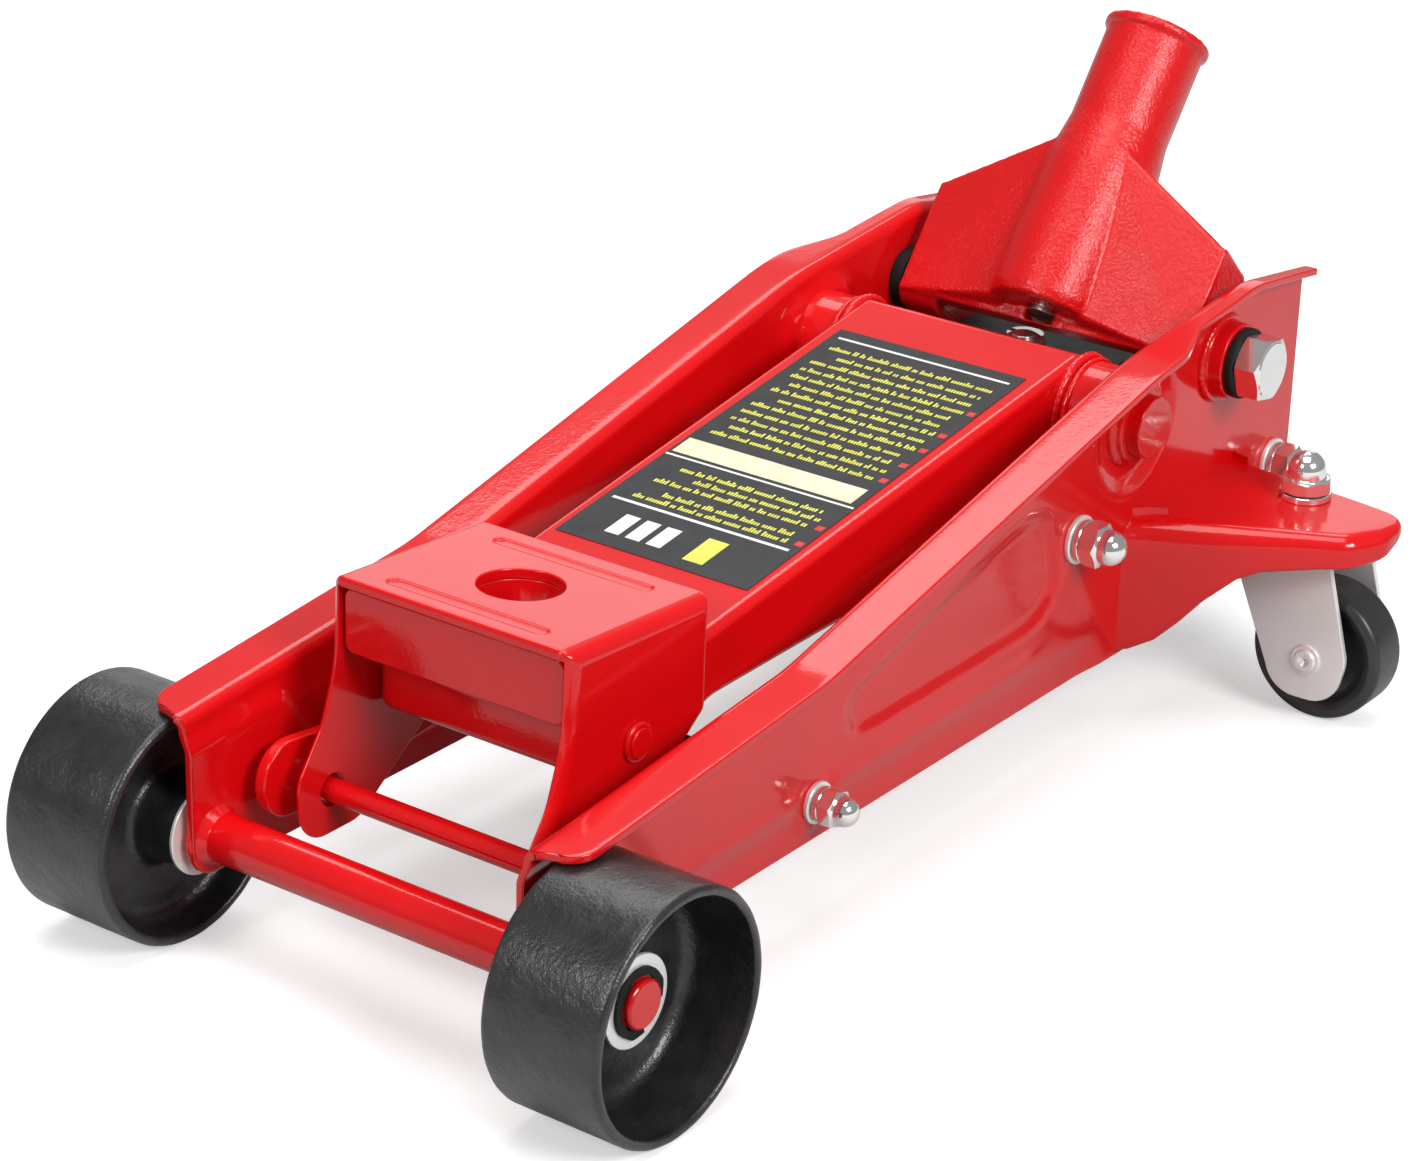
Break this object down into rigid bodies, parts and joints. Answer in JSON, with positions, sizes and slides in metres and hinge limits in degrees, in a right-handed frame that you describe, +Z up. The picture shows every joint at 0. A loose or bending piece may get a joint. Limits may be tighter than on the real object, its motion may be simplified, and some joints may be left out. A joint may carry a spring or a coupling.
{
  "type": "hydraulic floor jack",
  "caption": "Low wheeled hydraulic floor jack: side plates, parallelogram lift arm with level saddle bracket, tilting handle socket, front wheels and swivel casters.",
  "frame": {"origin": "middle of the bounding box's underside, on the floor between the wheels", "axes": "+X towards the front wheels and saddle, +Y to the jack's left, +Z up"},
  "size_m": [0.5578, 0.3286, 0.256],
  "materials": {
    "red_paint": "glossy sprayed enamel",
    "cast_red": "glossy enamel over a rough casting",
    "black_cast": "satin black paint with orange peel",
    "black_steel": "black oxide, satin",
    "zinc": "bright zinc plate",
    "chrome": "polished",
    "steel": "turned",
    "ground_steel": "ground and polished",
    "block_paint": "dark painted iron",
    "spring_steel": "oiled spring wire",
    "caster_tread": "moulded black",
    "label": "printed film"
  },
  "bodies": {
    "chassis": {"side_plate_left": "red_paint", "side_plate_right": "red_paint", "caster_bracket_left": "red_paint", "caster_bracket_right": "red_paint", "front_axle": "red_paint", "axle_retaining_rings": "black_steel", "axle_washers": "zinc", "front_tie_rod": "zinc", "arm_shaft": "red_paint", "link_pivot_bolts": "zinc", "block_studs": "zinc", "acorn_nuts": "chrome", "plain_washers": "zinc", "spring_washers": "zinc", "frame_spacers": "zinc", "frame_bosses": "red_paint", "handle_pivot_bolts": "chrome", "handle_pivot_washers": "black_steel", "spring_hanger": "black_steel", "hanger_bolt_and_nut": "steel", "pump_block": "block_paint", "cylinder_tube": "steel", "gland_nut": "steel", "filler_plug": "zinc", "plunger_spring": "spring_steel", "arm_return_springs": "spring_steel", "caster_studs": "zinc", "caster_races": "zinc", "caster_balls": "chrome"},
    "ram": {"ram_piston": "ground_steel", "ram_head": "steel"},
    "plunger": {"pump_plunger": "ground_steel"},
    "release_valve": {"release_spindle": "steel"},
    "arm": {"lift_arm": "red_paint", "arm_sleeve": "red_paint", "arm_front_bush": "steel", "ram_pin": "steel", "ram_roller": "steel", "rating_label": "label"},
    "head": {"saddle_bracket": "red_paint", "head_front_panel": "red_paint", "saddle_collar": "red_paint", "arm_pin": "red_paint", "arm_pin_rings": "red_paint"},
    "link": {"link_strap_left": "red_paint", "link_strap_right": "red_paint", "link_cross_rod": "red_paint", "link_rod_rings": "black_steel"},
    "handle": {"handle_socket": "cast_red", "pump_roller": "steel", "pump_roller_pin": "steel"},
    "coupler": {"handle_coupler": "steel"},
    "wheel_left": {"front_wheel_left": "black_cast"},
    "wheel_right": {"front_wheel_right": "black_cast"},
    "caster_left": {"caster_fork_left": "zinc", "caster_axle_left": "zinc"},
    "caster_right": {"caster_fork_right": "zinc", "caster_axle_right": "zinc"},
    "roller_left": {"caster_wheel_left": "caster_tread"},
    "roller_right": {"caster_wheel_right": "caster_tread"}
  },
  "joints": [
    {"name": "arm_lift", "type": "hinge", "parent": "chassis", "child": "arm", "pos_m": [-0.12806, 0, 0.129], "axis": [0, -1, 0], "range_deg": [0, 80], "deforming": ["arm_return_springs"]},
    {"name": "head_level", "type": "hinge", "parent": "arm", "child": "head", "pos_m": [0.15894, 0, 0.092], "axis": [0, -1, 0], "range_deg": [-80, 0]},
    {"name": "link_swing", "type": "hinge", "parent": "chassis", "child": "link", "pos_m": [-0.08856, 0, 0.093], "axis": [0, -1, 0], "range_deg": [0, 80]},
    {"name": "ram_stroke", "type": "slide", "parent": "chassis", "child": "ram", "axis": [1, 0, 0], "range_m": [0, 0.05786]},
    {"name": "handle_pump", "type": "hinge", "parent": "chassis", "child": "handle", "pos_m": [-0.19306, 0, 0.138], "axis": [0, -1, 0], "range_deg": [-25, 30], "stiffness_Nm_per_rad": 3, "springref_deg": -4.7},
    {"name": "plunger_stroke", "type": "slide", "parent": "chassis", "child": "plunger", "axis": [0, 0, -1], "range_m": [-0.01353, 0.01624], "deforming": ["plunger_spring"]},
    {"name": "coupler_turn", "type": "hinge", "parent": "handle", "child": "coupler", "pos_m": [-0.20969, 0, 0.1757], "axis": [-0.6115, 0, 0.7912], "range_deg": [0, 180]},
    {"name": "release_turn", "type": "hinge", "parent": "chassis", "child": "release_valve", "pos_m": [-0.21406, -0.027, 0.1], "axis": [0, 0, 1], "range_deg": [0, 180]},
    {"name": "wheel_left_roll", "type": "hinge", "parent": "chassis", "child": "wheel_left", "pos_m": [0.23394, 0.095, 0.045], "axis": [0, 1, 0], "continuous": true},
    {"name": "caster_left_swivel", "type": "hinge", "parent": "chassis", "child": "caster_left", "pos_m": [-0.19306, 0.12, 0.08], "axis": [0, 0, 1], "continuous": true},
    {"name": "caster_left_roll", "type": "hinge", "parent": "caster_left", "child": "roller_left", "pos_m": [-0.19306, 0.136, 0.0283], "axis": [1, 0, 0], "continuous": true},
    {"name": "wheel_right_roll", "type": "hinge", "parent": "chassis", "child": "wheel_right", "pos_m": [0.23394, -0.095, 0.045], "axis": [0, 1, 0], "continuous": true},
    {"name": "caster_right_swivel", "type": "hinge", "parent": "chassis", "child": "caster_right", "pos_m": [-0.19306, -0.12, 0.08], "axis": [0, 0, 1], "continuous": true},
    {"name": "caster_right_roll", "type": "hinge", "parent": "caster_right", "child": "roller_right", "pos_m": [-0.19306, -0.136, 0.0283], "axis": [1, 0, 0], "continuous": true}
  ],
  "couplings": [
    {"joint": "head_level", "follows": "arm_lift", "ratio": -1},
    {"joint": "link_swing", "follows": "arm_lift", "ratio": 1},
    {"joint": "ram_stroke", "follows": "arm_lift", "m_per_rad": 0.041433},
    {"joint": "plunger_stroke", "follows": "handle_pump", "m_per_rad": 0.031},
    {"joint": "release_turn", "follows": "coupler_turn", "ratio": 1}
  ]
}
